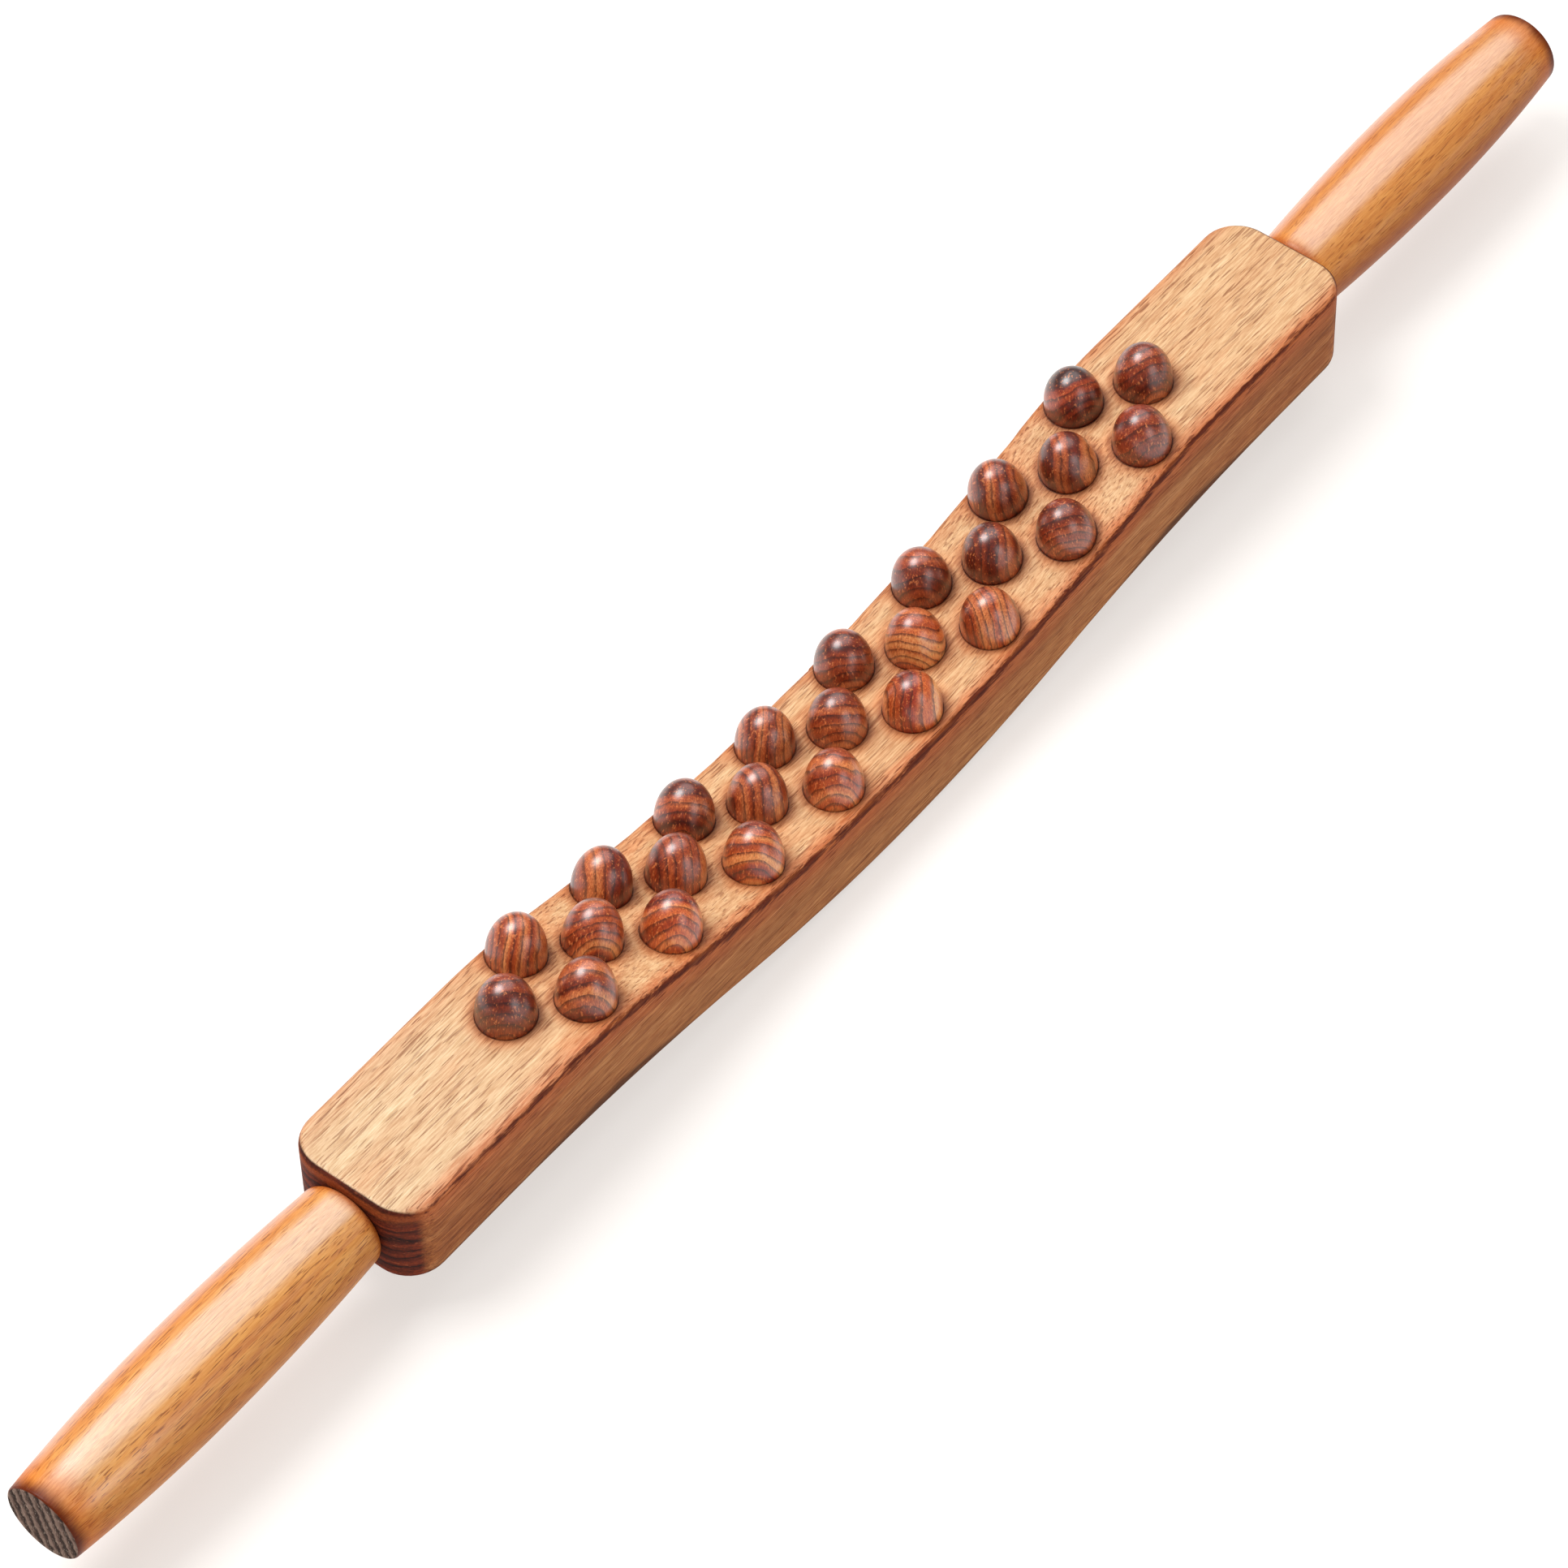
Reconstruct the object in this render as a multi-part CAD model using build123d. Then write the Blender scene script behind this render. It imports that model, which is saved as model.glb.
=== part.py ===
from build123d import *
import os
from math import sqrt

# A two-handed wooden massage bar, in millimetres.
# A dished beech beam carries three rows of domed hardwood knobs on its top face, and a turned
# handle on each end.  +X runs along the bar, +Z is up, and -Y is the front.  The origin is at the
# middle of the bar, on the plane that the belly of the beam rests on.

# Beam
beam_length = 396.6
beam_width = 42.0
beam_thickness = 27.8          # of the flat ends
beam_corner_radius = 11.0      # of the four corners, seen from above
beam_edge_round = 2.0          # along every edge of the top and the underside

# Dish in the top face: one long arc that two blend arcs join to the flat ends
dish_depth = 16.8
dish_radius = 426.0
dish_blend_radius = 137.0

# Belly under the beam: the same form, with its own arcs
belly_depth = 14.3
belly_radius = 386.0
belly_blend_radius = 555.0

# Knobs
knob_diameter = 16.0
knob_height = 13.1             # above the top face
knob_band = 1.0                # height of the straight band under the dome
dome_fullness = 0.56           # 0.55 is half an ellipsoid, and more is squarer
knob_base_round = 0.3
knob_gap = 17.4                # between neighbours in one row
front_margin = 3.1             # from the front row's knobs to the beam's front side
back_margin = 0.1              # from the back row's knobs to the beam's back side
front_row_count = 8
middle_row_count = 9
middle_shift = 0.6             # the middle row stands this much nearer to the back row
back_row_count = 8

# How a knob sits in the beam
seat_depth = 0.4               # spot-faced seat, so that the base lies on a flat
seat_clearance = 0.15
peg_diameter = 6.0
peg_length = 10.0
peg_chamfer = 0.8
peg_clearance = 0.1
peg_end_gap = 1.0

# Handles
handle_length = 112.0
handle_inner_diameter = 24.2
handle_belly_diameter = 28.6
handle_outer_diameter = 23.0
handle_belly_place = 58.0      # from the beam's end to the thickest place
handle_inner_round = 3.0
handle_outer_round = 0.8

# Dowel that joins a handle to the beam
dowel_diameter = 10.0
dowel_in_beam = 25.0
dowel_in_handle = 25.0
dowel_chamfer = 1.0
dowel_clearance = 0.1

cut_overrun = 2.0              # how far a cutting form runs past the face that it cuts

top_z = beam_thickness + belly_depth
handle_axis_z = top_z - beam_thickness / 2
knob_radius = knob_diameter / 2
knob_pitch = knob_diameter + knob_gap
front_row_y = front_margin + knob_radius - beam_width / 2
back_row_y = beam_width / 2 - back_margin - knob_radius
middle_row_y = (front_row_y + back_row_y) / 2 + middle_shift


class DishedLine:
    """A level line with a sag in its middle, made of a long arc and two blend arcs."""

    def __init__(self, level, depth, radius, blend_radius):
        reach = radius + blend_radius
        self.level = level
        self.depth = depth
        self.radius = radius
        self.blend_radius = blend_radius
        self.blend_start = sqrt(depth * (2 * reach - depth))
        self.blend_end = self.blend_start * radius / reach

    def height(self, x):
        """Height of the line at x."""
        along = abs(x)
        if along >= self.blend_start:
            return self.level
        if along >= self.blend_end:
            into_blend = self.blend_start - along
            return self.level - self.blend_radius + sqrt(self.blend_radius**2 - into_blend**2)
        return self.level - self.depth + self.radius - sqrt(self.radius**2 - along**2)

    def normal(self, x):
        """Unit vector that points up, square to the line at x."""
        along = abs(x)
        side = 1 if x >= 0 else -1
        if along >= self.blend_start:
            return Vector(0, 0, 1)
        if along >= self.blend_end:
            sine = (self.blend_start - along) / self.blend_radius
        else:
            sine = along / self.radius
        return Vector(-side * sine, 0, sqrt(1 - sine**2))

    def edges(self, half_length):
        """The line's edges from one end of the beam to the other."""
        stops = [-self.blend_start, -self.blend_end, self.blend_end, self.blend_start]
        points = [(x, self.height(x)) for x in stops]
        middles = [((a + b) / 2, self.height((a + b) / 2)) for a, b in zip(stops, stops[1:])]
        arcs = [ThreePointArc(a, m, b) for a, m, b in zip(points, middles, points[1:])]
        return [
            Line((-half_length, self.level), points[0]),
            *arcs,
            Line(points[-1], (half_length, self.level)),
        ]


top_line = DishedLine(top_z, dish_depth, dish_radius, dish_blend_radius)
belly_line = DishedLine(belly_depth, belly_depth, belly_radius, belly_blend_radius)


def beam_blank():
    """The beam's outer form, with all its edges rounded, before any hole is drilled."""
    half = beam_length / 2
    ends = [Line((x, belly_depth), (x, top_z)) for x in (-half, half)]
    outline = make_face([*top_line.edges(half), *belly_line.edges(half), *ends])
    side_view = extrude(Plane.XZ * outline, beam_width, both=True)
    plan = RectangleRounded(beam_length, beam_width, beam_corner_radius)
    blank = side_view & extrude(plan, top_z + cut_overrun)
    return fillet(outline_edges(blank), beam_edge_round)


def outline_edges(blank):
    """Edges round the top face and round the underside."""
    chosen = []
    for edge in blank.edges():
        middle = edge.position_at(0.5)
        upright = abs(edge.tangent_at(0.5).Z) > 0.9
        across = abs(middle.Y) < beam_width / 4 and abs(middle.X) < beam_length / 2 - 1
        if not upright and not across:
            chosen.append(edge)
    return chosen


def knob_plane(x, y):
    """Plane that touches the dished top face at x, y, with its Z square to that face."""
    normal = top_line.normal(x)
    return Plane(origin=(x, y, top_line.height(x)), x_dir=(normal.Z, 0, -normal.X), z_dir=normal)


def row_places(count):
    """Distances along the beam of the knobs in one row."""
    return [(i - (count - 1) / 2) * knob_pitch for i in range(count)]


def knob_places():
    """Each knob's node name and its place on the top face."""
    rows = [
        ("front", front_row_count, front_row_y),
        ("middle", middle_row_count, middle_row_y),
        ("back", back_row_count, back_row_y),
    ]
    places = {}
    for row, count, y in rows:
        for number, x in enumerate(row_places(count), start=1):
            places[f"knob_{row}_{number}"] = knob_plane(x, y)
    return places


def knob():
    """A domed knob turned in one piece with its peg, standing on its own axis."""
    peg_radius = peg_diameter / 2
    base = -seat_depth
    tip = base - peg_length
    rise = knob_height - knob_band
    dome = Bezier(
        (knob_radius, knob_band),
        (knob_radius, knob_band + dome_fullness * rise),
        (dome_fullness * knob_radius, knob_height),
        (0, knob_height),
    )
    rim = RadiusArc(
        (knob_radius - knob_base_round, base), (knob_radius, base + knob_base_round), -knob_base_round
    )
    side = Polyline((knob_radius, base + knob_base_round), (knob_radius, knob_band))
    stem = Polyline(
        (0, knob_height),
        (0, tip),
        (peg_radius - peg_chamfer, tip),
        (peg_radius, tip + peg_chamfer),
        (peg_radius, base),
        (knob_radius - knob_base_round, base),
    )
    return revolve(Plane.XZ * make_face([dome, side, rim, stem]), Axis.Z)


def knob_socket():
    """What is cut away for one knob: its shallow seat and the hole for its peg."""
    hole_depth = seat_depth + peg_length + peg_end_gap
    from_below = (Align.CENTER, Align.CENTER, Align.MIN)
    seat = Pos(0, 0, -seat_depth) * Cylinder(
        knob_radius + seat_clearance, seat_depth + cut_overrun, align=from_below
    )
    hole = Pos(0, 0, -hole_depth) * Cylinder(
        peg_diameter / 2 + peg_clearance, hole_depth, align=from_below
    )
    return seat + hole


def end_plane(side):
    """Plane on the beam's end face, on the handle's axis, with its Z pointing outwards."""
    return Plane(origin=(side * beam_length / 2, 0, handle_axis_z), x_dir=(0, 1, 0), z_dir=(side, 0, 0))


def dowel_hole(depth_in, depth_out):
    """A round hole for the dowel, from depth_in below the end plane to depth_out above it."""
    length = depth_in + depth_out
    middle = (depth_out - depth_in) / 2
    return Pos(0, 0, middle) * Cylinder(dowel_diameter / 2 + dowel_clearance, length)


def beam():
    """The beam with its knob seats, its peg holes and a dowel hole in each end."""
    socket = knob_socket()
    cuts = [place * socket for place in knob_places().values()]
    cuts += [end_plane(side) * dowel_hole(dowel_in_beam, cut_overrun) for side in (-1, 1)]
    return beam_blank() - cuts


def handle():
    """A turned barrel handle with a dowel hole, standing on its inner end."""
    belly = (handle_belly_diameter / 2, handle_belly_place)
    inner = (handle_inner_diameter / 2, 0)
    outer = (handle_outer_diameter / 2, handle_length)
    profile = make_face([
        TangentArc(belly, inner, tangent=(0, -1)),
        TangentArc(belly, outer, tangent=(0, 1)),
        Polyline(inner, (0, 0), (0, handle_length), outer),
    ])
    turned = revolve(Plane.XZ * profile, Axis.Z)
    rims = turned.edges().filter_by(GeomType.CIRCLE).sort_by(Axis.Z)
    turned = fillet(rims[-1], handle_outer_round)
    inner_rim = turned.edges().filter_by(GeomType.CIRCLE).sort_by(Axis.Z)[0]
    turned = fillet(inner_rim, handle_inner_round)
    return turned - dowel_hole(cut_overrun, dowel_in_handle)


def dowel():
    """A plain dowel with chamfered ends, half in the beam and half in the handle."""
    middle = (dowel_in_handle - dowel_in_beam) / 2
    stick = Pos(0, 0, middle) * Cylinder(dowel_diameter / 2, dowel_in_beam + dowel_in_handle)
    return chamfer(stick.edges().filter_by(GeomType.CIRCLE), dowel_chamfer)


def nodes():
    """Every piece of the bar by its node name."""
    pieces = {"beam": beam()}
    for name, side in (("left", -1), ("right", 1)):
        pieces[f"{name}_handle"] = end_plane(side) * handle()
        pieces[f"{name}_dowel"] = end_plane(side) * dowel()
    turned_knob = knob()
    for name, place in knob_places().items():
        pieces[name] = place * turned_knob
    return pieces


def write_steps(pieces):
    """Write one STEP file for each piece, and print the size of the whole bar."""
    os.makedirs("parts", exist_ok=True)
    for name, piece in pieces.items():
        piece.label = name
        export_step(piece, f"parts/{name}.step")
    size = Compound(children=list(pieces.values())).bounding_box().size
    print(f"{len(pieces)} nodes, {size.X:.1f} x {size.Y:.1f} x {size.Z:.1f} mm")


write_steps(nodes())
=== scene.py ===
# %% [markdown]
# # A two-handed wooden massage bar
# The real thing is one thick stick of beech, hollowed along its top, with a turned handle on each end and
# three rows of dark wooden knobs standing in the hollow. Every one of those pieces already has its exact
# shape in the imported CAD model. So this lesson keeps those meshes as they are and spends its effort on the
# wood: how it grew, how it was cut, where it was toasted, and how it was varnished.

import math

import bpy
from mathutils import Matrix, Vector


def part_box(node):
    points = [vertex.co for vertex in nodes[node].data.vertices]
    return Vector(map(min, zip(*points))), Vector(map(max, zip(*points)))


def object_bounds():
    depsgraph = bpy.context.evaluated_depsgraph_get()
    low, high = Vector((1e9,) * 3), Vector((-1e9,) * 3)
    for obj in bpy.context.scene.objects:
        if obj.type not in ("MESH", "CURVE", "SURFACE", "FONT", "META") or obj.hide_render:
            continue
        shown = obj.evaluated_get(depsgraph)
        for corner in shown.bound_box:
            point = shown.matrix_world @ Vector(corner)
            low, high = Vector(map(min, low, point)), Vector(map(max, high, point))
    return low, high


MM_PER_M = 1000.0
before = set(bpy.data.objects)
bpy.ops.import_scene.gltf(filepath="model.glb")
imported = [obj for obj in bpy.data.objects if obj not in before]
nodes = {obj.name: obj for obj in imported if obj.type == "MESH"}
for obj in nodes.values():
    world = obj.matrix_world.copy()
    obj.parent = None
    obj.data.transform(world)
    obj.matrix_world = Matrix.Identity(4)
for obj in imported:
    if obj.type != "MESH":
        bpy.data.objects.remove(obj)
cad_low, cad_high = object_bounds()
print(len(nodes), "pieces,", [round(v * MM_PER_M, 1) for v in cad_high - cad_low], "mm")

# %% [markdown]
# ## The camera
# The bar is looked at from its front left, about 51 degrees above the table, through a long lens. A long lens
# from far away keeps the two handles nearly the same size. The aim is the middle of the bar's flat top, and two
# small slides, one sideways and one upward, set where the bar sits in the picture. A small roll turns the bar
# on to the picture's diagonal.

# %% Place the camera
CAMERA_AZIMUTH = math.radians(-50.146)
CAMERA_ELEVATION = math.radians(51.289)
CAMERA_ROLL = math.radians(-1.892)
CAMERA_DISTANCE = 1.77609
SLIDE_RIGHT = -0.015195
SLIDE_UP = -0.024264
LENS_MM = 157.45
SENSOR_MM = 36.0


def towards(azimuth, elevation):
    """The direction from the bar to something at that azimuth and elevation, in radians."""
    return Vector((
        math.sin(azimuth) * math.cos(elevation),
        -math.cos(azimuth) * math.cos(elevation),
        math.sin(elevation),
    ))


beam_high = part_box("beam")[1]
back = towards(CAMERA_AZIMUTH, CAMERA_ELEVATION)
level_right = Vector((math.cos(CAMERA_AZIMUTH), math.sin(CAMERA_AZIMUTH), 0))
level_up = back.cross(level_right)
right = level_right * math.cos(CAMERA_ROLL) + level_up * math.sin(CAMERA_ROLL)
up = level_up * math.cos(CAMERA_ROLL) - level_right * math.sin(CAMERA_ROLL)
aim = Vector((0, 0, beam_high.z))
camera = bpy.data.objects.new("camera", bpy.data.cameras.new("camera"))
bpy.context.scene.collection.objects.link(camera)
camera.matrix_world = Matrix.Translation(
    aim + back * CAMERA_DISTANCE + right * SLIDE_RIGHT + up * SLIDE_UP
) @ Matrix((right, up, back)).transposed().to_4x4()
camera.data.lens = LENS_MM
camera.data.sensor_width = SENSOR_MM
bpy.context.scene.camera = camera
print("camera at", [round(v, 3) for v in camera.matrix_world.translation])

# %% [markdown]
# ## The table
# The bar lies on its round belly on a white table. A plain square is enough for it, big enough that its edge
# stays out of sight from above. Its top is a tenth of a millimetre under the belly, because two faces in exactly
# the same place flicker through each other.

# %% Lay the table
scene = bpy.context.scene
scene.view_settings.view_transform = "Standard"
TABLE_HALF = 4.0
TABLE_GAP = 0.0001
CORNERS = [(-1, -1), (1, -1), (1, 1), (-1, 1)]

table_mesh = bpy.data.meshes.new("table")
table_mesh.from_pydata([(x * TABLE_HALF, y * TABLE_HALF, 0) for x, y in CORNERS], [], [(0, 1, 2, 3)])
table = bpy.data.objects.new("table", table_mesh)
scene.collection.objects.link(table)
table.location.z = cad_low.z - TABLE_GAP
print("the table's top is at", round(table.location.z * MM_PER_M, 2), "mm")

# %% [markdown]
# ## The light
# Two softboxes hang above and behind the bar. The smaller and brighter one, on the near handle's side, makes the
# round highlight on each knob. The wide one, on the far handle's side, is what the varnish of the flat faces and
# the handles mirrors towards the camera: it pales the bar's ends and draws a long band on each handle. A low
# white card in front lifts the bar's dark side. A lamp's energy spreads over its face, so one function works it
# out from how bright the face should look, and the lights can then be resized without changing that.


# %% Hang the lights
def hang_softbox(name, direction, distance, width, radiance):
    """A round soft light that faces the middle of the bar; radiance is how bright its face looks."""
    ray = Vector(direction)
    light = bpy.data.lights.new(name, "AREA")
    light.shape = "DISK"
    light.size = width
    face_area = math.pi * width**2 / 4
    light.energy = radiance * math.pi * face_area
    lamp = bpy.data.objects.new(name, light)
    scene.collection.objects.link(lamp)
    lamp.location = aim + ray.normalized() * distance
    lamp.rotation_euler = ray.to_track_quat("Z", "Y").to_euler()
    lamp.visible_camera = False
    print(name, "at", [round(v, 2) for v in lamp.location], "gives", round(light.energy), "W")


hang_softbox("small_softbox", direction=(-0.28, 0.42, 0.90), distance=2.6, width=1.60, radiance=12.6)
hang_softbox("wide_softbox", direction=(0.40, 0.22, 0.89), distance=3.0, width=4.00, radiance=1.9)
hang_softbox("card", direction=(-0.10, -0.94, 0.32), distance=3.0, width=1.80, radiance=2.6)

# %% [markdown]
# The sky has two jobs that pull apart: as a backdrop it should be white, and as a light it should be dim, so that
# the varnish stays clear. A Light Path node tells the two apart.

# %% Make the sky
SKY_LIGHT = 0.15
SKY_BACKDROP = 1.0

sky = bpy.data.worlds.new("sky")
sky.use_nodes = True
background = sky.node_tree.nodes["Background"]
background.inputs["Color"].default_value = (1, 1, 1, 1)
path = sky.node_tree.nodes.new("ShaderNodeLightPath")
strength = sky.node_tree.nodes.new("ShaderNodeMapRange")
strength.inputs["To Min"].default_value = SKY_LIGHT
strength.inputs["To Max"].default_value = SKY_BACKDROP
sky.node_tree.links.new(path.outputs["Is Camera Ray"], strength.inputs["Value"])
sky.node_tree.links.new(strength.outputs["Result"], background.inputs["Strength"])
scene.world = sky
print("the sky lights at", SKY_LIGHT, "and shows at", SKY_BACKDROP)

# %% [markdown]
# ## Writing a material as sums
# A wood is easiest to think of as arithmetic: how far is this point from the heart of the tree, and what is left
# over after whole rings are taken away. Blender does that arithmetic with Math nodes, one for each sign. Wiring
# forty of them by hand hides the idea, so a small class wraps a socket and turns Python's own signs into nodes.
# A second class holds one material and makes every other node for it. It also holds the material's paints, by
# name, so that a finish reads as a list of stains.


# %% A number that changes over the surface
class Amount:
    """A socket that carries a number. Python's signs on it add Math nodes."""

    def __init__(self, finish, socket):
        self.finish = finish
        self.socket = socket

    def __add__(self, other):
        return self.finish.math("ADD", self, other)

    def __sub__(self, other):
        return self.finish.math("SUBTRACT", self, other)

    def __rsub__(self, other):
        return self.finish.math("SUBTRACT", other, self)

    def __mul__(self, other):
        return self.finish.math("MULTIPLY", self, other)

    def __truediv__(self, other):
        return self.finish.math("DIVIDE", self, other)

    def __abs__(self):
        return self.finish.math("ABSOLUTE", self)

    __radd__ = __add__
    __rmul__ = __mul__


# %% A colour as a painter mixes it
def colour(red, green, blue):
    """A colour given as a painter's 0 to 255 values, turned into the light that Blender adds up."""
    return tuple((v / 255 / 12.92) if v < 11 else ((v / 255 + 0.055) / 1.055) ** 2.4 for v in (red, green, blue))


print("middle grey is", [round(v, 3) for v in colour(128, 128, 128)])


# %% A material and its nodes
class Finish:
    """One material. Lengths inside it are millimetres in the model's own frame."""

    def __init__(self, name, paints=None):
        self.paints = paints
        self.material = bpy.data.materials.new(name)
        self.material.use_nodes = True
        self.tree = self.material.node_tree
        self.tree.nodes.clear()
        metres = self.node("ShaderNodeTexCoord", output="Object")
        self.place = self.node(
            "ShaderNodeVectorMath", {"operation": "SCALE"}, {"Vector": metres, "Scale": MM_PER_M}, "Vector"
        )

    def node(self, kind, settings=None, inputs=None, output=0):
        """Adds a node of that kind: settings first, then the values or links of its sockets."""
        made = self.tree.nodes.new(kind)
        for name, value in (settings or {}).items():
            if name == "stops":
                self.set_stops(made.color_ramp, value)
            else:
                setattr(made, name, value)
        for name, value in (inputs or {}).items():
            if isinstance(value, Amount):
                self.tree.links.new(value.socket, made.inputs[name])
            else:
                made.inputs[name].default_value = value
        return Amount(self, made.outputs[output])

    def set_stops(self, ramp, stops):
        while len(ramp.elements) < len(stops):
            ramp.elements.new(1.0)
        for element, (position, paint) in zip(ramp.elements, stops):
            element.position = position
            element.color = (*colour(*paint), 1)

    def math(self, operation, *values):
        return self.node("ShaderNodeMath", {"operation": operation}, dict(enumerate(values)))

    def vector_math(self, operation, first, second):
        return self.node("ShaderNodeVectorMath", {"operation": operation}, {0: first, 1: second}, "Vector")

    def split(self, vector):
        """The x, y and z of a vector."""
        parts = self.node("ShaderNodeSeparateXYZ", None, {"Vector": vector}).socket.node
        return [Amount(self, socket) for socket in parts.outputs]

    def join(self, x, y, z):
        return self.node("ShaderNodeCombineXYZ", None, {"X": x, "Y": y, "Z": z})

    def facing(self):
        """The x, y and z of the way the surface faces."""
        return self.split(self.node("ShaderNodeNewGeometry", output="Normal"))

    def rise(self, value, low, high):
        """0 below low, 1 above high and a smooth climb between; low may be the larger, which turns it round."""
        return self.node(
            "ShaderNodeMapRange", {"interpolation_type": "SMOOTHSTEP"},
            {"Value": value, "From Min": low, "From Max": high}, "Result",
        )

    def noise(self, vector, per_mm, detail=2.0, roughness=0.5):
        """Cloudy noise about 0.5, with per_mm lumps along each axis."""
        return self.node(
            "ShaderNodeTexNoise", None,
            {
                "Vector": self.vector_math("MULTIPLY", vector, per_mm),
                "Scale": 1.0, "Detail": detail, "Roughness": roughness,
            },
            "Fac",
        )

    def ramp(self, value, paint):
        """The named paint's own stops, each a position and a colour."""
        return self.node("ShaderNodeValToRGB", {"stops": self.paints[paint]}, {"Fac": value}, "Color")

    def tones(self, value, reach, paint):
        """The named paint's three tones, at 0.5 - reach, at 0.5 and at 0.5 + reach."""
        stops = list(zip((0.5 - reach, 0.5, 0.5 + reach), self.paints[paint]))
        return self.node("ShaderNodeValToRGB", {"stops": stops}, {"Fac": value}, "Color")

    def blend(self, mask, below, above, how="MIX"):
        """Colour: below where mask is 0, above where it is 1."""
        colours = {6: below, 7: above}
        inputs = {0: mask} | {k: c if isinstance(c, Amount) else (*c, 1) for k, c in colours.items()}
        settings = {"data_type": "RGBA", "blend_type": how, "clamp_factor": True}
        return self.node("ShaderNodeMix", settings, inputs, 2)

    def stain(self, body, mask, paint):
        """The body's colour with the named paint over it where mask is 1."""
        return self.blend(mask, body, colour(*self.paints[paint]))

    def sharpen(self, body, strength, fine, dark, light):
        """Light and dark flecks of fine noise, softly laid over the body's colour; dark and light are greys."""
        return self.blend(strength, body, self.blend(fine, dark, light), "SOFT_LIGHT")

    def varnish(self, body, roughness, height, depth_mm, **constants):
        """The shader: a colour, a roughness, a fine relief of that depth, and constants on its own sockets."""
        relief = self.node(
            "ShaderNodeBump", None, {"Height": height, "Strength": 1.0, "Distance": depth_mm / MM_PER_M}, "Normal"
        )
        inputs = {"Base Color": body, "Roughness": roughness, "Normal": relief}
        inputs |= {name.replace("_", " "): value for name, value in constants.items()}
        shader = self.node("ShaderNodeBsdfPrincipled", None, inputs)
        result = self.tree.nodes.new("ShaderNodeOutputMaterial")
        self.tree.links.new(shader.socket, result.inputs["Surface"])
        self.report("finished")
        return self.material

    def report(self, step):
        print(f"{self.material.name}: {step}, {len(self.tree.nodes)} nodes")


# %% [markdown]
# ## The table's white
# A matt white surface that glows a little, so that only the soft shadow close to the wood is seen. Its even tone
# is broken by a trace of unevenness that is far too weak to see as a pattern, as a real painted board has.

# %% Finish the table
TABLE_GLOW = 0.66
WARM_WHITE = (1.0, 0.95, 0.91, 1.0)
TABLE_TONES = ((0.34, 0.33, 0.32), (0.36, 0.35, 0.34))

paper = Finish("table_white")
cloudy = paper.noise(paper.place, (0.01, 0.01, 0.01))
table.data.materials.append(paper.varnish(
    paper.blend(cloudy, *TABLE_TONES), 0.7 + cloudy * 0.05, cloudy, 0.01,
    Emission_Color=WARM_WHITE, Emission_Strength=TABLE_GLOW, Specular_IOR_Level=0.1,
))

# %% [markdown]
# ## Beech along its length
# A tree is a bundle of rings round its heart. A board is sawn from beside the heart, so the rings cross it as
# nearly flat layers, and every face shows the same layers cut at its own angle: straight lines on the sides,
# broad flames where the hollow dips through them, and stacked bands on the ends. Painting each face apart
# would never line up at the edges. Here one function gives the ring at any point of the solid, from the
# distance to a heart line that runs beside the wood, and all the faces simply read it.


# %% Rings and pores of a wood that grew along X
def rings(finish, vector, heart, width, waviness):
    """How many rings lie between a heart line along X, at (y, z), and each point."""
    x, y, z = finish.split(vector)
    across = y - heart[0]
    above = z - heart[1]
    distance = finish.math("SQRT", across * across + above * above)
    drift = finish.noise(vector, (0.006, 0.03, 0.03), detail=3.0) - 0.5
    return distance / width + drift * waviness


def late_wood(finish, count):
    """The dark line that ends each ring: it builds slowly and stops sharply."""
    part = finish.math("FRACT", count)
    return finish.rise(part, 0.35, 0.93) * finish.rise(part, 1.0, 0.94)


def pores(finish, vector, length, width, low, high):
    """Short dark dashes along the grain, of about that length and width in mm."""
    lumps = finish.noise(vector, (0.4 / length, 0.4 / width, 0.4 / width), detail=0.5)
    return finish.rise(lumps, low, high)


# %% [markdown]
# ## The bar
# The bar was steamed and oiled, and its edges have gone dark: the arris is nearly burnt and the end grain drank
# the most stain. Round each knob the hollow gets painted shade: a warm darker halo and a darker ring close in,
# where the knob shades the wood. These marks and shades follow the shape of the piece, so they are worked out
# from it: the depth below the hollow's own curve, the distance to the long sides, and the distance to the nearest
# knob of each row.

# %% The bar's shape, in mm, as the carpenter would measure it
TOP = beam_high.z * MM_PER_M
HALF_WIDTH = beam_high.y * MM_PER_M
BEAM_THICKNESS = 27.8
DISH_DEPTH = 16.8
DISH_RADIUS = 426.0
DISH_BLEND = 137.0
DISH_REACH = math.sqrt(DISH_DEPTH * (2 * (DISH_RADIUS + DISH_BLEND) - DISH_DEPTH))
DISH_TURN = DISH_REACH * DISH_RADIUS / (DISH_RADIUS + DISH_BLEND)
KNOB_PITCH = 33.4
KNOB_RADIUS = 8.0
KNOB_ROWS = {"front": (8, -9.9), "middle": (9, 2.1), "back": (8, 12.9)}
print("the hollow turns", round(DISH_TURN, 1), "mm from the middle and ends at", round(DISH_REACH, 1), "mm")


# %% The height of the hollow
def top_height(finish, x):
    """The height of the bar's top face at x: a long arc, then a rounder one up to the flat ends."""
    side = abs(x)
    inner = finish.math("MINIMUM", side, DISH_TURN)
    outer = DISH_REACH - finish.math("MINIMUM", finish.math("MAXIMUM", side, DISH_TURN), DISH_REACH)
    hollow = DISH_RADIUS - finish.math("SQRT", DISH_RADIUS**2 - inner * inner)
    lip = finish.math("SQRT", DISH_BLEND**2 - outer * outer)
    lip_start = math.sqrt(DISH_BLEND**2 - (DISH_REACH - DISH_TURN) ** 2)
    return hollow + lip + (TOP - DISH_DEPTH - lip_start)


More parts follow.
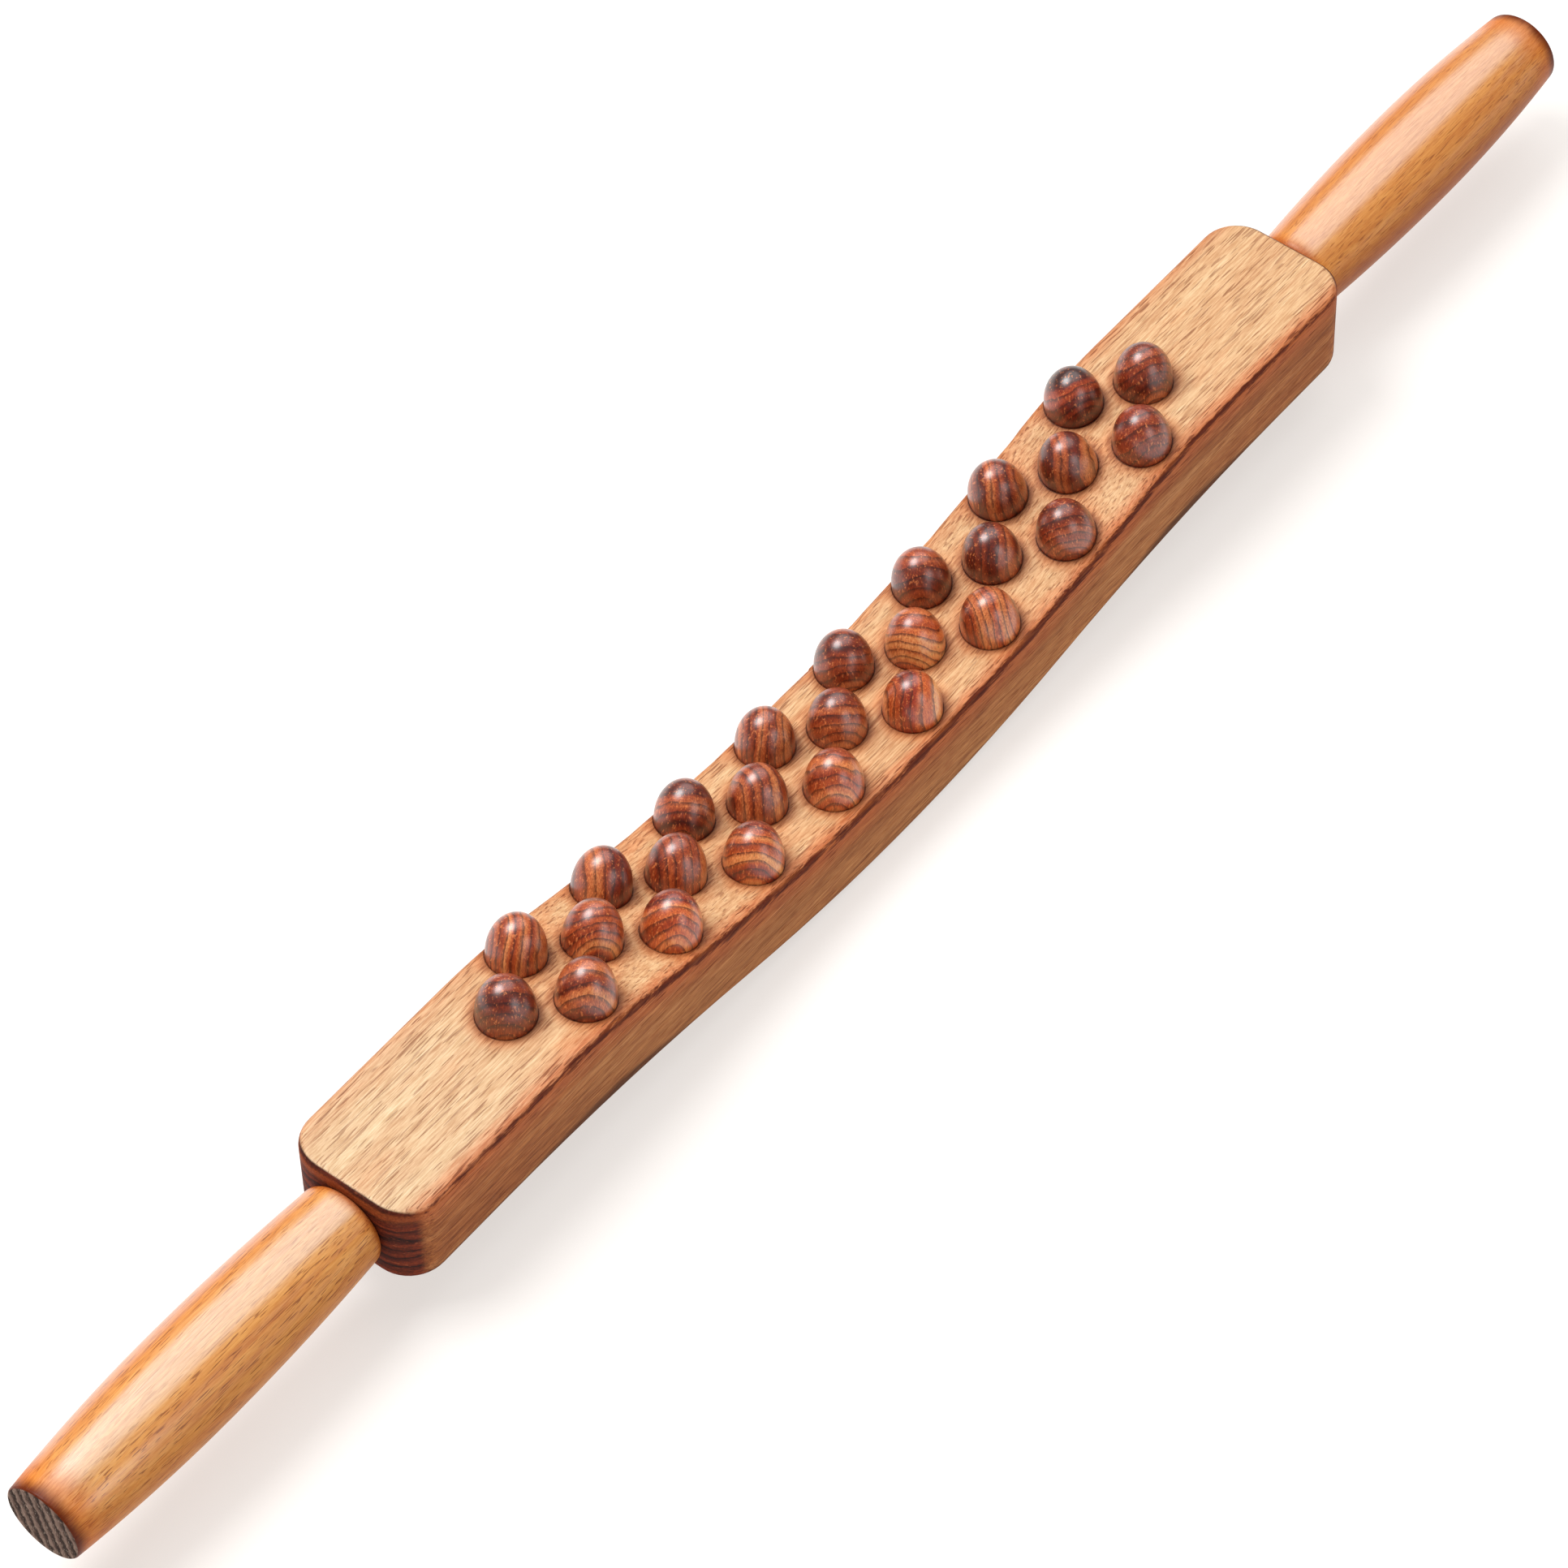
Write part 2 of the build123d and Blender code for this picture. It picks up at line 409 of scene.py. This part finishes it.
# %% The way to the nearest knob
def knob_distance(finish, x, y):
    """The distance from the axis of the nearest knob, seen from above."""
    nearest = None
    for count, row_y in KNOB_ROWS.values():
        shift = 0.5 * ((count + 1) % 2)
        reach = (count - 1) / 2 * KNOB_PITCH
        steps = finish.math("ROUND", x / KNOB_PITCH - shift) + shift
        seat = finish.math("MAXIMUM", finish.math("MINIMUM", steps * KNOB_PITCH, reach), -reach)
        along = x - seat
        across = y - row_y
        distance = finish.math("SQRT", along * along + across * across)
        nearest = distance if nearest is None else finish.math("MINIMUM", nearest, distance)
    return nearest


# %% The bar's paints
# A name with three colours is a set of tones; one with positions is a run of bands.
BAR_PAINTS = {
    "pale end and sheen": ((189, 154, 120), (196, 165, 130), (201, 173, 138)),
    "warm hollow": ((183, 132, 90), (195, 150, 107), (203, 164, 122)),
    "side": ((138, 78, 38), (164, 98, 52), (186, 126, 78)),
    "face ring": (178, 122, 80),
    "face patch": (196, 124, 78),
    "side ring": (116, 62, 34),
    "side line": (112, 58, 28),
    "belly": (196, 144, 92),
    "toast_glow_and_shade": (176, 90, 46),
    "burnt and shade": (82, 26, 10),
    "bottom shade": (58, 28, 16),
    "warm_shade_halo": (182, 98, 46),
    "contact_shade": (110, 50, 24),
    "varnish and shade line": (60, 22, 10),
    "end layers": (
        (0.0, (52, 15, 7)), (0.22, (82, 27, 12)), (0.60, (122, 48, 22)), (0.88, (94, 33, 15)),
        (0.98, (36, 10, 5)),
    ),
    "end line": (38, 13, 7),
    "end glint": (176, 100, 64),
    "end top": (158, 78, 34),
    "end edge": (60, 22, 11),
    "pore": (110, 54, 28),
    "long pore": (134, 76, 46),
}
print(len(BAR_PAINTS), "paints for the bar")

# %% Where each point of the bar lies
# Each pair below is where a change begins and where it is complete, in mm.
HOLLOW_FADE = (168.0, 110.0)
FAR_END_FADE = (60.0, 160.0)
FRONT_FADE = (6.0, -6.0)

bar = Finish("beam_beech", BAR_PAINTS)
x, y, z = bar.split(bar.place)
below = top_height(bar, x) - z
facing_x, _, facing_z = bar.facing()
end_grain = bar.rise(abs(facing_x), 0.35, 0.60)
facing_up = bar.rise(facing_z, 0.35, 0.8)
hollow = bar.rise(abs(x), *HOLLOW_FADE)
far_end = bar.rise(x, *FAR_END_FADE)
shaded_front = bar.rise(y, *FRONT_FADE)
bar.report("measured")

# %% The bar's rings, fine lines and pores
patchy = bar.noise(bar.place, (0.04, 0.10, 0.10), detail=3.0)
ragged = bar.noise(bar.place, (0.10, 0.9, 0.9), detail=4.0, roughness=0.75)
fine = bar.noise(bar.place, (0.14, 1.9, 1.9), detail=3.0, roughness=0.7)
streaks = bar.noise(bar.place, (0.006, 0.22, 0.22), detail=5.0, roughness=0.7)
late = late_wood(bar, rings(bar, bar.place, heart=(-14.0, -62.0), width=2.3, waviness=2.6))
lines = bar.rise(bar.noise(bar.place, (0.014, 1.5, 1.5), detail=2.0, roughness=0.6), 0.50, 0.64)
dashes = pores(bar, bar.place, length=2.8, width=0.19, low=0.61, high=0.68)
long_dashes = pores(bar, bar.place, length=8.0, width=0.30, low=0.64, high=0.71)
bar.report("grained")

# %% [markdown]
# The flat ends of the top are the palest, partly pale wood and partly a painted sheen of the wide softbox
# mirrored in the varnish; the hollow is warmer, and the sides are a good deal browner, since they drank more oil.
# Each is a set of tones picked by the same long streaks, so that the streaks cross the edges unbroken.

# %% Colour the top face and the sides
STREAK_REACH = 0.18

# The pale end tones are partly the wood's own and partly a painted sheen, where the wide softbox is mirrored on
# the flat ends.
pale = bar.tones(streaks, STREAK_REACH, "pale end and sheen")
warm = bar.tones(streaks, STREAK_REACH, "warm hollow")
face = bar.blend(bar.math("MAXIMUM", hollow * 0.8, far_end * 0.65), pale, warm)
face = bar.stain(face, late * 0.20, "face ring")
face = bar.stain(face, bar.rise(patchy, 0.50, 0.75) * (0.2 + hollow * 0.4), "face patch")
side = bar.tones(streaks, STREAK_REACH, "side")
side = bar.stain(side, late * 0.25, "side ring")
side = bar.stain(side, lines * 0.55, "side line")
side = bar.stain(side, bar.rise(below, 5.0, 15.0) * hollow * 0.22, "belly")
body = bar.blend(facing_up, side, face)
bar.report("coloured")

# %% [markdown]
# The arris is toasted: a wide warm glow with a thin, nearly burnt line inside it, stronger in the hollow. Both
# are also stronger on the front, whose rounding faces away from the softboxes, and that extra part is painted
# shade.
# Ragged noise is added to the distance before the mask is made, so the line breaks up along the fibres instead of
# following the edge evenly. A painted shade also runs along the bottom of the sides, where the bar meets the
# table.

# %% Toast the edges
GLOW_REACH = 6.0
TOAST_REACH = 0.5
TOAST_RAGGEDNESS = 3.6
BOTTOM_SHADE_REACH = 3.6

edge = bar.math("MAXIMUM", below * 0.6, HALF_WIDTH - abs(y))
# The glow and the burnt line are real toasting, made stronger on the front with painted shade.
toast_glow_and_shade = bar.rise(edge + (ragged - 0.5) * 6.0, GLOW_REACH, 0.6) * (0.40 + shaded_front * 0.35)
body = bar.stain(body, toast_glow_and_shade, "toast_glow_and_shade")
toast = TOAST_REACH + hollow * 0.4 + (ragged - 0.5) * TOAST_RAGGEDNESS
singed_and_shaded = bar.rise(edge - toast, 0.5, -0.2) * (0.25 + shaded_front * 0.7)
body = bar.stain(body, singed_and_shaded, "burnt and shade")
# Painted shade along the bottom of the sides, where the bar meets the table.
bottom = bar.rise(below + hollow * 2.0, BEAM_THICKNESS - BOTTOM_SHADE_REACH, BEAM_THICKNESS - 0.6)
body = bar.stain(body, bottom * 0.8, "bottom shade")
bar.report("toasted")

# %% Paint shade and a dark line round each knob
SHADE_HALO_REACH = 5.0
CONTACT_SHADE_REACH = 2.4
FOOT_LINE_OUT = 0.45
FOOT_LINE_IN = 0.05

gap = knob_distance(bar, x, y)
# Painted shade: a warm darker halo in the hollow round each knob.
warm_shade_halo = bar.rise(gap + (patchy - 0.5) * 3.0, KNOB_RADIUS + SHADE_HALO_REACH, KNOB_RADIUS - 0.5) * facing_up
body = bar.stain(body, warm_shade_halo * 0.6, "warm_shade_halo")
# Painted contact shade: a darker ring close round each knob's foot.
contact_shade = bar.rise(gap + (ragged - 0.5) * 1.5, KNOB_RADIUS + CONTACT_SHADE_REACH, KNOB_RADIUS) * facing_up
body = bar.stain(body, contact_shade * 0.55, "contact_shade")
# A thin dark line at each knob's foot: partly varnish built up in the joint, partly painted contact shade.
varnish_and_shade_line = bar.rise(gap, KNOB_RADIUS + FOOT_LINE_OUT, KNOB_RADIUS + FOOT_LINE_IN) * facing_up
body = bar.stain(body, varnish_and_shade_line * 0.8, "varnish and shade line")
bar.report("shaded round the knobs")

# %% [markdown]
# On the end grain the rings are cut straight across, so they show as stacked bands, close to black after the
# stain. The bands repeat down the height, bent by noise, with fine lines and a few pale glints over them, a
# warmer strip near the top and a dark one at the very edge.

# %% Stain the end grain
LAYERS_PER_MM = 0.26

bend = (bar.noise(bar.place, (0.05, 0.06, 0.26), detail=3.0) - 0.5) * 1.8
ends = bar.ramp(bar.math("FRACT", below * LAYERS_PER_MM + bend), "end layers")
end_lines = bar.rise(bar.noise(bar.place, (0.3, 0.09, 1.8), detail=3.0), 0.52, 0.64)
ends = bar.stain(ends, end_lines * 0.55, "end line")
end_glints = bar.rise(bar.noise(bar.place, (0.6, 0.22, 2.2), detail=2.0), 0.63, 0.72)
ends = bar.stain(ends, end_glints * 0.5, "end glint")
end_top = bar.rise(below + (ragged - 0.5) * 3.0, 5.5, 3.0) * bar.rise(below, 0.8, 1.8)
ends = bar.stain(ends, end_top * 0.6, "end top")
ends = bar.stain(ends, bar.rise(below, 1.6, 0.5) * 0.5, "end edge")
body = bar.blend(end_grain, body, ends)
bar.report("ends stained")

# %% Cut the pores and varnish the bar
RELIEF_DEPTH = 0.06

along = 1 - end_grain
body = bar.stain(body, dashes * along * (0.45 + toast_glow_and_shade * 0.5), "pore")
body = bar.stain(body, long_dashes * along * 0.30, "long pore")
body = bar.sharpen(body, 0.9, bar.rise(fine, 0.30, 0.70), (0.30, 0.27, 0.24), (0.72, 0.72, 0.71))
bar_roughness = 0.42 + (1 - facing_up) * 0.3 + (fine - 0.5) * 0.2 + dashes * 0.1
bar_relief = fine * 0.5 - dashes * along - lines * 0.2
bar_wood = bar.varnish(body, bar_roughness, bar_relief, RELIEF_DEPTH, Specular_IOR_Level=0.18)

# %% [markdown]
# ## The handles
# Each handle was turned on a lathe from the same sort of wood, then sprayed with clear lacquer that has yellowed
# to honey. The lathe cuts through the rings, which shows as long streaks. The lacquer is thick and smooth, so
# the wide softbox draws one long pale band on it, and a pale band is also painted along the top as a painted
# highlight. The lower side is darkened with painted shade. The rim of the outer end was scorched by the finishing
# tool, and the flat end itself was left bare and has gone grey.

# %% The handles' paints
HANDLE_PAINTS = {
    "lacquered": ((204, 128, 58), (214, 145, 70), (218, 156, 82)),
    "ring": (170, 94, 40),
    "line": (168, 86, 30),
    "painted_highlight_band": (184, 164, 138),
    "behind": (178, 96, 42),
    "pore": (112, 48, 16),
    "honey": (196, 112, 44),
    "shade": (134, 58, 14),
    "baked": (186, 92, 30),
    "scorched": (84, 24, 3),
    "shoulder": (150, 62, 14),
    "end layers": ((0.0, (32, 20, 16)), (0.30, (80, 60, 51)), (0.70, (142, 117, 104)), (0.92, (50, 34, 28))),
    "end ray": (176, 156, 140),
}
HANDLE_TONE_REACH = 0.20
FINE_RELIEF_DEPTH = 0.03
print(len(HANDLE_PAINTS), "paints for the handles")


# %% The bare grey end of a handle
def bare_disc(wood, moved, y, z):
    """The colour of the sawn end and the mask of its pale rays."""
    wavy = (wood.noise(moved, (0.5, 0.5, 0.5), detail=3.0) - 0.5) * 0.8
    bands = wood.ramp(wood.math("FRACT", y * 0.30 - z * 0.08 + wavy), "end layers")
    rays = wood.rise(wood.noise(moved, (0.5, 2.4, 0.8), detail=2.0), 0.56, 0.68)
    return wood.stain(bands, rays * 0.50, "end ray"), rays


# %% The marks that the lathe and the heat left
def end_marks(wood, body, patchy, from_outer, from_inner):
    """A baked fade and a scorched rim at the outer end, and a dark shoulder at the inner one."""
    baked = wood.rise(from_outer + (patchy - 0.5) * 8.0, 15.0, 2.0)
    body = wood.stain(body, baked * 0.5, "baked")
    scorched = wood.rise(from_outer + (patchy - 0.5) * 3.0, 4.8, 0.2)
    body = wood.stain(body, scorched * 0.96, "scorched")
    shoulder = wood.rise(from_inner + (patchy - 0.5) * 2.0, 4.5, 0.5)
    return wood.stain(body, shoulder * 0.75, "shoulder")


# %% [markdown]
# The band of clear coat is strongest on the upper side, and thins out at both ends, where the lacquer ran off.
# Only the coat's weight changes over the surface: its roughness and its index are the same everywhere, so they
# are set once, on the shader's own sockets.


# %% Finish a handle
def handle_finish(name, side, heart, honey, seed):
    """side is -1 for the left and 1 for the right; honey is how yellow the lacquer is and deepens the painted
    lower-side shade; seed moves the grain.
    """
    wood = Finish(name, HANDLE_PAINTS)
    low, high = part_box(name)
    outer_end = (high.x if side > 0 else -low.x) * MM_PER_M
    inner_end = (low.x if side > 0 else -high.x) * MM_PER_M
    moved = wood.vector_math("ADD", wood.place, (seed, seed * 0.7, 0))
    x, y, z = wood.split(wood.place)
    from_outer = outer_end - x * side
    from_inner = x * side - inner_end
    upper = y * 0.45 + z - 28.2
    fine = wood.noise(moved, (0.14, 2.2, 2.2), detail=3.0, roughness=0.7)
    patchy = wood.noise(moved, (0.05, 0.15, 0.15), detail=3.0)
    streaks = wood.noise(moved, (0.005, 0.26, 0.26), detail=5.0, roughness=0.65)
    lines = wood.rise(wood.noise(moved, (0.007, 1.5, 1.5), detail=2.0, roughness=0.6), 0.48, 0.68)
    late = late_wood(wood, rings(wood, wood.place, heart, width=2.1, waviness=1.5))
    dashes = pores(wood, moved, length=2.2, width=0.13, low=0.60, high=0.68)

    body = wood.tones(streaks, HANDLE_TONE_REACH, "lacquered")
    body = wood.stain(body, late * 0.18, "ring")
    body = wood.stain(body, lines * 0.36, "line")
    # A painted highlight: a pale band along the top, where the wide softbox's reflection lies.
    painted_highlight_band = wood.rise(abs(y + 2.0) + (streaks - 0.5) * 10.0, 7.5, 2.5) * wood.rise(z, 33.0, 38.0)
    body = wood.stain(body, painted_highlight_band * 0.5, "painted_highlight_band")
    body = wood.stain(body, wood.rise(y + (streaks - 0.5) * 10.0, 3.0, 9.0) * 0.55, "behind")
    body = wood.stain(body, dashes * (0.70 - painted_highlight_band * 0.4), "pore")
    body = wood.stain(body, honey, "honey")
    # Painted shade on the lower side of the handle, deeper where the lacquer is more honey-coloured.
    body = wood.stain(body, wood.rise(upper, 3.0, -8.0) * (0.25 + honey * 1.4), "shade")
    body = end_marks(wood, body, patchy, from_outer, from_inner)
    body = wood.sharpen(body, 0.7, wood.rise(fine, 0.30, 0.70), (0.34, 0.31, 0.28), (0.68, 0.67, 0.66))

    bare = wood.rise(abs(wood.facing()[0]), 0.80, 0.92) * wood.rise(from_outer, 0.9, 0.5)
    disc, rays = bare_disc(wood, moved, y, z)
    body = wood.blend(bare, body, disc)
    upper_side = (1 - bare) * wood.rise(upper, -2.0, 7.0)
    lacquer = upper_side * wood.rise(from_outer, 3.0, 13.0) * wood.rise(from_inner, 1.0, 6.0)
    roughness = 0.36 + bare * 0.45 + (fine - 0.5) * 0.16
    relief = fine * 0.35 - dashes * (1 - bare) * 0.6 - rays * bare
    return wood.varnish(
        body, roughness, relief, FINE_RELIEF_DEPTH,
        Coat_Weight=lacquer, Coat_Roughness=0.26, Coat_IOR=2.0, Specular_IOR_Level=0.12,
    )


left_wood = handle_finish("left_handle", side=-1, heart=(38.0, -2.0), honey=0.05, seed=0.0)
right_wood = handle_finish("right_handle", side=1, heart=(26.0, -20.0), honey=0.35, seed=53.0)

# %% [markdown]
# ## The knobs
# The knobs were turned from strips of a dark, oily, rosewood-like timber. Each strip was turned by chance before
# it was cut. Where its rings face forward, their heart comes out near the knob's foot and they rise over it as
# nested arches; where they are seen edge-on, they stand up as stripes. Every knob gets a material of its own, in
# the knob's own frame: its seat, its lean with the hollow, and the way its rings face. A short list gives that
# for each knob.

# %% Where each knob's rings face and how pale its strip was
# For each knob from left to right: the strip's turn round the knob's axis in degrees, and its paleness, where 1
# is the palest.
KNOB_STRIPS = {
    "front": ((40, 0.5), (42, 0.95), (36, 0.85), (44, 0.8), (-40, 1.0), (-28, 0.7), (50, 0.25), (62, 0.12)),
    "middle": (
        (38, 0.35), (48, 0.6), (-34, 0.55), (-24, 0.45), (42, 0.4), (24, 0.9), (-44, 0.35), (-48, 0.4),
        (60, 0.25),
    ),
    "back": ((-48, 0.7), (-42, 0.6), (36, 0.25), (-50, 0.45), (54, 0.4), (40, 0.2), (-46, 0.45), (64, 0.05)),
}
# The tilt of the rings' heart line in degrees, its distance from the knob's middle, how much that varies from
# knob to knob, and the width of a ring, in mm.
FACE_ON = {"tilt": -48, "heart_gap": 8.6, "gap_spread": 1.6, "ring_width": 2.5}
EDGE_ON = {"tilt": -6, "heart_gap": 16.0, "gap_spread": 5.0, "ring_width": 2.1}
RING_SPREAD = 0.4
KNOB_TONE_REACH = 0.16
KNOB_PAINTS = {
    "dark strip": ((46, 7, 2), (106, 27, 9), (156, 56, 23)),
    "pale strip": ((148, 46, 14), (202, 96, 42), (230, 154, 90)),
    "ring line": (44, 10, 6),
    "pore": (40, 11, 6),
    "fleck": (240, 140, 78),
    "foot": (40, 12, 7),
}
print(sum(turn > 0 for row in KNOB_STRIPS.values() for turn, _ in row), "knobs show their rings face-on")


# %% The lean of a knob
def slope_at(x):
    """The slope of the hollow at x, as rise over run."""
    side = min(abs(x), DISH_REACH)
    if side <= DISH_TURN:
        run = side / math.sqrt(DISH_RADIUS**2 - side**2)
    else:
        run = (DISH_REACH - side) / math.sqrt(DISH_BLEND**2 - (DISH_REACH - side) ** 2)
    return math.copysign(run, x)


print("the outermost knobs lean by", round(math.degrees(math.atan(slope_at(4 * KNOB_PITCH))), 1), "degrees")


# %% A knob's own frame and rings
def knob_frame(wood, moved, x, turn_degrees):
    """The point as seen from the knob: turned with its strip and stood upright out of the hollow."""
    lean = math.atan(slope_at(x))
    settle = Matrix.Rotation(math.radians(-turn_degrees), 3, "Z") @ Matrix.Rotation(lean, 3, "Y")
    return wood.node(
        "ShaderNodeVectorRotate", {"rotation_type": "EULER_XYZ"},
        {"Vector": moved, "Rotation": tuple(settle.to_euler())}, "Vector",
    )


def knob_rings(wood, u, v, w, grown, strip, seed):
    """How many rings lie between the strip's heart line and each point."""
    heart_gap = strip["heart_gap"] + strip["gap_spread"] * math.sin(seed * 2.4)
    ring_width = strip["ring_width"] + RING_SPREAD * math.sin(seed * 1.7)
    tilt = math.radians(strip["tilt"])
    from_heart = u * math.cos(tilt) - w * math.sin(tilt) + heart_gap
    distance = wood.math("SQRT", from_heart * from_heart + v * v)
    drift = wood.noise(grown, (0.07, 0.06, 0.02), detail=2.0) - 0.5
    wobble = wood.noise(grown, (0.5, 0.3, 0.06), detail=3.0) - 0.5
    return distance / ring_width + drift * 2.2 + wobble * 0.5 + seed * 0.37


# %% Finish a knob
def knob_finish(name, x, turn_degrees, paleness, seed):
    """x is the knob's place along the bar; seed gives it rings and pores that no other knob has."""
    wood = Finish(name, KNOB_PAINTS)
    low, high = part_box(name)
    moved = wood.vector_math("SUBTRACT", wood.place, tuple((low + high) / 2 * MM_PER_M))
    own = knob_frame(wood, moved, x, turn_degrees)
    u, v, w = wood.split(own)
    grown = wood.vector_math("ADD", own, (seed * 7.3, seed * 3.1, seed * 5.7))
    count = knob_rings(wood, u, v, w, grown, FACE_ON if turn_degrees > 0 else EDGE_ON, seed)
    part = wood.math("FRACT", count)
    ring_line = wood.rise(part, 0.50, 0.95) * wood.rise(part, 1.0, 0.95)
    tone = wood.noise(wood.join(count * 0.55, seed * 1.3, 0.0), (1.0, 1.0, 1.0), detail=1.0)
    flecks = wood.rise(wood.noise(grown, (1.5, 1.5, 0.6), detail=2.0), 0.60, 0.67)
    dark_pores = wood.rise(wood.noise(grown, (1.8, 1.8, 0.25), detail=2.0), 0.60, 0.70)
    fine = wood.noise(grown, (2.4, 2.4, 0.5), detail=3.0, roughness=0.7)

    # Painted light: the front of each knob, towards the white card and table, is painted paler, standing in for
    # their reflection.
    front_painted_light = wood.rise(wood.split(moved)[1], 3.0, -8.0)
    dark = wood.tones(tone, KNOB_TONE_REACH, "dark strip")
    pale = wood.tones(tone, KNOB_TONE_REACH, "pale strip")
    body = wood.blend(paleness * (0.55 + front_painted_light * 0.6), dark, pale)
    body = wood.stain(body, ring_line * 0.72, "ring line")
    body = wood.sharpen(body, 0.8, wood.rise(fine, 0.32, 0.68), (0.20, 0.16, 0.14), (0.84, 0.82, 0.80))
    body = wood.stain(body, dark_pores * 0.45, "pore")
    body = wood.stain(body, flecks * 0.45, "fleck")
    # The knob's foot is darker: partly varnish built up where it meets the bar, partly painted contact shade.
    body = wood.stain(body, wood.rise(w, -4.9, -6.4) * 0.5, "foot")
    roughness = 0.40 + (fine - 0.5) * 0.16
    relief = fine * 0.5 + flecks * 0.2 - dark_pores * 0.6
    return wood.varnish(
        body, roughness, relief, FINE_RELIEF_DEPTH,
        Coat_Weight=1.0, Coat_Roughness=0.33, Coat_IOR=1.68, Specular_IOR_Level=0.15,
    )


# %% Finish the knobs, one by one
knob_woods = {}
for row, strips in KNOB_STRIPS.items():
    for index, (turn, paleness) in enumerate(strips):
        name = f"knob_{row}_{index + 1}"
        knob_x = (index - (len(strips) - 1) / 2) * KNOB_PITCH
        knob_woods[name] = knob_finish(name, knob_x, turn, paleness, len(knob_woods) + 1.0)
print(len(knob_woods), "knobs finished")

# %% [markdown]
# ## The hidden dowels
# A plain birch dowel joins each handle to the bar. It never shows, but it is still a real piece of wood: pale,
# straight in the grain, and never varnished. Both share one material.

# %% Finish the dowels
DOWEL_PAINTS = {"birch": ((0.3, (196, 164, 120)), (0.7, (222, 196, 156))), "pore": (150, 108, 70)}

dowel = Finish("dowel_birch", DOWEL_PAINTS)
dowel_fine = dowel.noise(dowel.place, (0.3, 3.0, 3.0), detail=3.0)
dowel_dashes = pores(dowel, dowel.place, length=3.0, width=0.2, low=0.6, high=0.72)
dowel_body = dowel.stain(dowel.ramp(dowel_fine, "birch"), dowel_dashes * 0.4, "pore")
dowel_roughness = 0.6 + (dowel_fine - 0.5) * 0.1
dowel_wood = dowel.varnish(dowel_body, dowel_roughness, dowel_fine - dowel_dashes, FINE_RELIEF_DEPTH)

# %% Give each piece its wood
woods = {"beam": bar_wood, "left_handle": left_wood, "right_handle": right_wood}
woods |= {"left_dowel": dowel_wood, "right_dowel": dowel_wood} | knob_woods
for name, node in nodes.items():
    for place in node.material_slots:
        place.material = woods[name]
print(sorted(set(nodes) - set(woods)), "are left without a wood")
